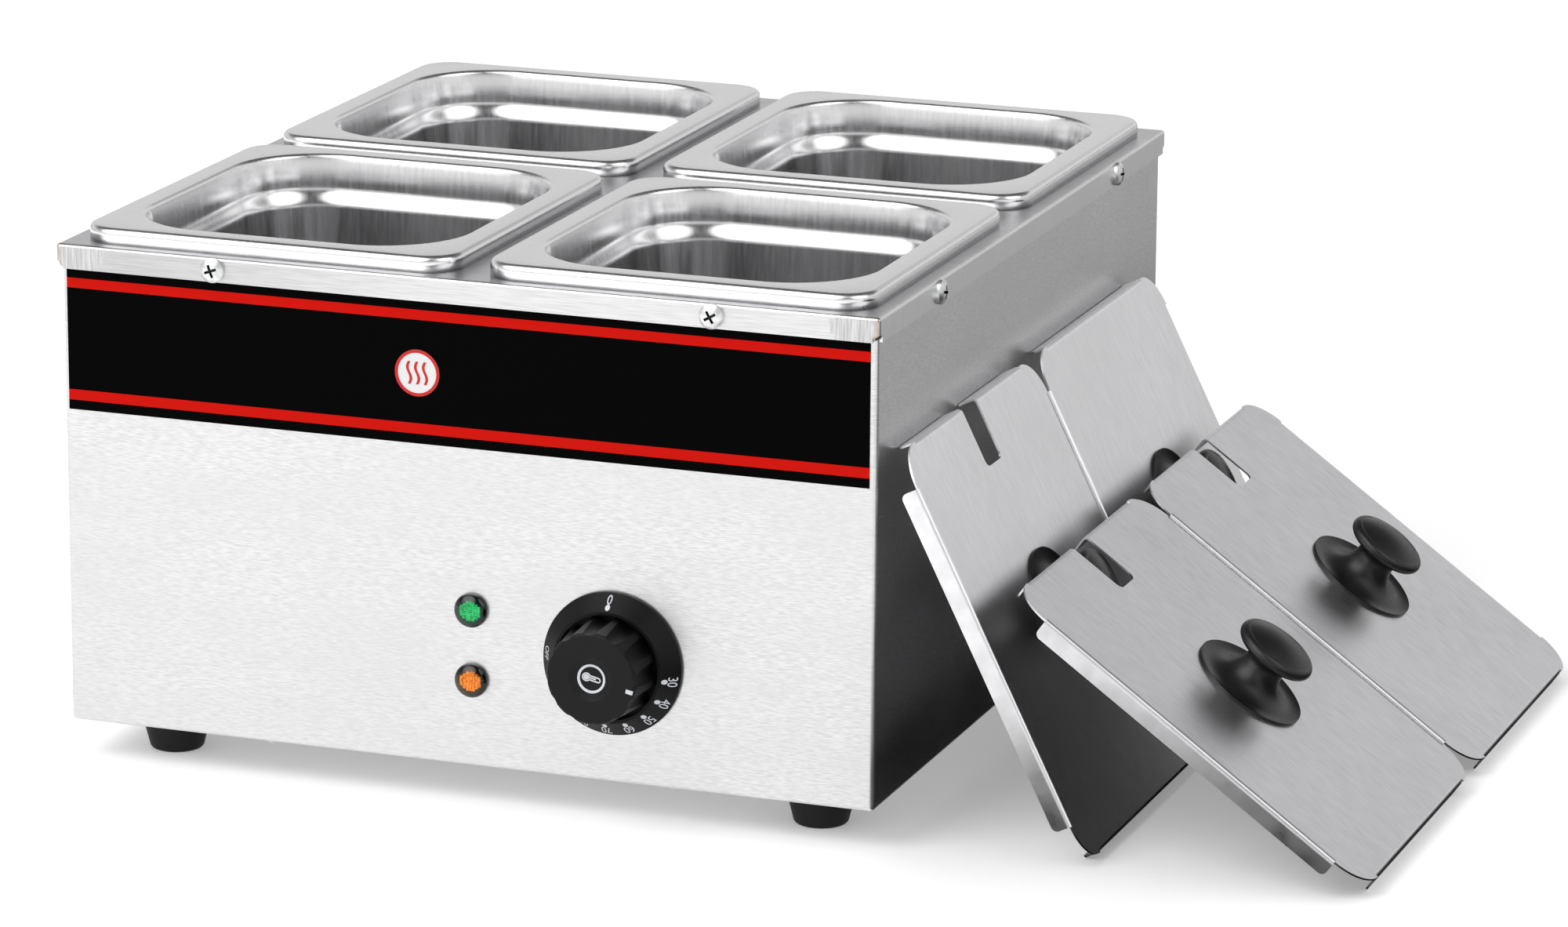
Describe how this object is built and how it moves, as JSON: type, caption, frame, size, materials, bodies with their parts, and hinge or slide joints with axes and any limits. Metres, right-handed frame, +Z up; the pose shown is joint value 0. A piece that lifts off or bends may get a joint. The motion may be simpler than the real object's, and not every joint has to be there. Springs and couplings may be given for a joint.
{
  "type": "ice cream topping warmer",
  "caption": "Countertop topping warmer: brushed steel box with lift-out pans over a heated well, a dial thermostat, pilot lamps, and notched lids with knobs leaning beside it.",
  "frame": {"origin": "on the floor, under the middle of the box round the warmer and its leaning lids", "axes": "+Z up, -Y out of the front with the controls, +X to the right of the front, where the lids lean"},
  "size_m": [0.5494, 0.4162, 0.2228],
  "materials": {
    "case_steel": "brushed",
    "deck_steel": "brushed",
    "pan_steel": "satin polish",
    "lid_steel": "fine brushed",
    "well_steel": "mill",
    "zinc": "bright zinc",
    "element_steel": "dull",
    "copper": "satin",
    "brass": "satin",
    "bakelite": "satin gloss",
    "dial_black": "fine grain",
    "decal_black": "printed film",
    "lens_green": "translucent",
    "lens_amber": "translucent",
    "rubber_black": "matte",
    "phenolic": "moulded",
    "ceramic": "glazed",
    "nylon_black": "moulded"
  },
  "bodies": {
    "warmer": {"deck": "deck_steel", "case_wrap": "case_steel", "rear_panel": "case_steel", "base_plate": "case_steel", "deck_screws": "zinc", "rear_screws": "zinc", "base_screws": "zinc", "feet": "rubber_black", "foot_screws": "zinc", "foot_nuts": "zinc", "heating_well": "well_steel", "heating_element": "element_steel", "element_bushes": "brass", "element_nuts": "zinc", "element_rests": "well_steel", "thermostat_body": "phenolic", "thermostat_screws": "zinc", "thermostat_bulb": "copper", "bulb_clips": "well_steel", "dial_bezel": "dial_black", "green_lamp_lens": "lens_green", "amber_lamp_lens": "lens_amber", "lamp_nuts": "nylon_black", "lamp_holders": "nylon_black", "front_band": "decal_black", "terminal_block": "ceramic", "terminal_screws": "zinc", "cable_gland": "nylon_black", "gland_cap": "nylon_black", "gland_locknut": "nylon_black"},
    "knob": {"control_knob": "dial_black", "thermostat_shaft": "zinc"},
    "pan_front_left_body": {"pan_front_left": "pan_steel"},
    "pan_front_right_body": {"pan_front_right": "pan_steel"},
    "pan_rear_left_body": {"pan_rear_left": "pan_steel"},
    "pan_rear_right_body": {"pan_rear_right": "pan_steel"},
    "lid_inner_front_body": {"lid_inner_front": "lid_steel", "lid_knob_inner_front": "bakelite", "lid_screw_inner_front": "zinc"},
    "lid_inner_rear_body": {"lid_inner_rear": "lid_steel", "lid_knob_inner_rear": "bakelite", "lid_screw_inner_rear": "zinc"},
    "lid_outer_front_body": {"lid_outer_front": "lid_steel", "lid_knob_outer_front": "bakelite", "lid_screw_outer_front": "zinc"},
    "lid_outer_rear_body": {"lid_outer_rear": "lid_steel", "lid_knob_outer_rear": "bakelite", "lid_screw_outer_rear": "zinc"}
  },
  "joints": [
    {"name": "thermostat_turn", "type": "hinge", "parent": "warmer", "child": "knob", "pos_m": [-0.03251, -0.1831, 0.0661], "axis": [0, 1, 0], "range_deg": [-187, 124]},
    {"name": "pan_front_left_lift", "type": "slide", "parent": "warmer", "child": "pan_front_left_body", "axis": [0, 0, 1], "range_m": [0, 0.13]},
    {"name": "pan_front_right_lift", "type": "slide", "parent": "warmer", "child": "pan_front_right_body", "axis": [0, 0, 1], "range_m": [0, 0.13]},
    {"name": "pan_rear_left_lift", "type": "slide", "parent": "warmer", "child": "pan_rear_left_body", "axis": [0, 0, 1], "range_m": [0, 0.13]},
    {"name": "pan_rear_right_lift", "type": "slide", "parent": "warmer", "child": "pan_rear_right_body", "axis": [0, 0, 1], "range_m": [0, 0.13]},
    {"name": "lid_inner_front_lift", "type": "slide", "parent": "warmer", "child": "lid_inner_front_body", "axis": [0.5, 0, 0.866], "range_m": [0, 0.25]},
    {"name": "lid_inner_rear_lift", "type": "slide", "parent": "warmer", "child": "lid_inner_rear_body", "axis": [0.5, 0, 0.866], "range_m": [0, 0.25]},
    {"name": "lid_outer_front_lift", "type": "slide", "parent": "lid_inner_front_body", "child": "lid_outer_front_body", "axis": [0.5, 0, 0.866], "range_m": [0, 0.25]},
    {"name": "lid_outer_rear_lift", "type": "slide", "parent": "lid_inner_rear_body", "child": "lid_outer_rear_body", "axis": [0.5, 0, 0.866], "range_m": [0, 0.25]}
  ]
}
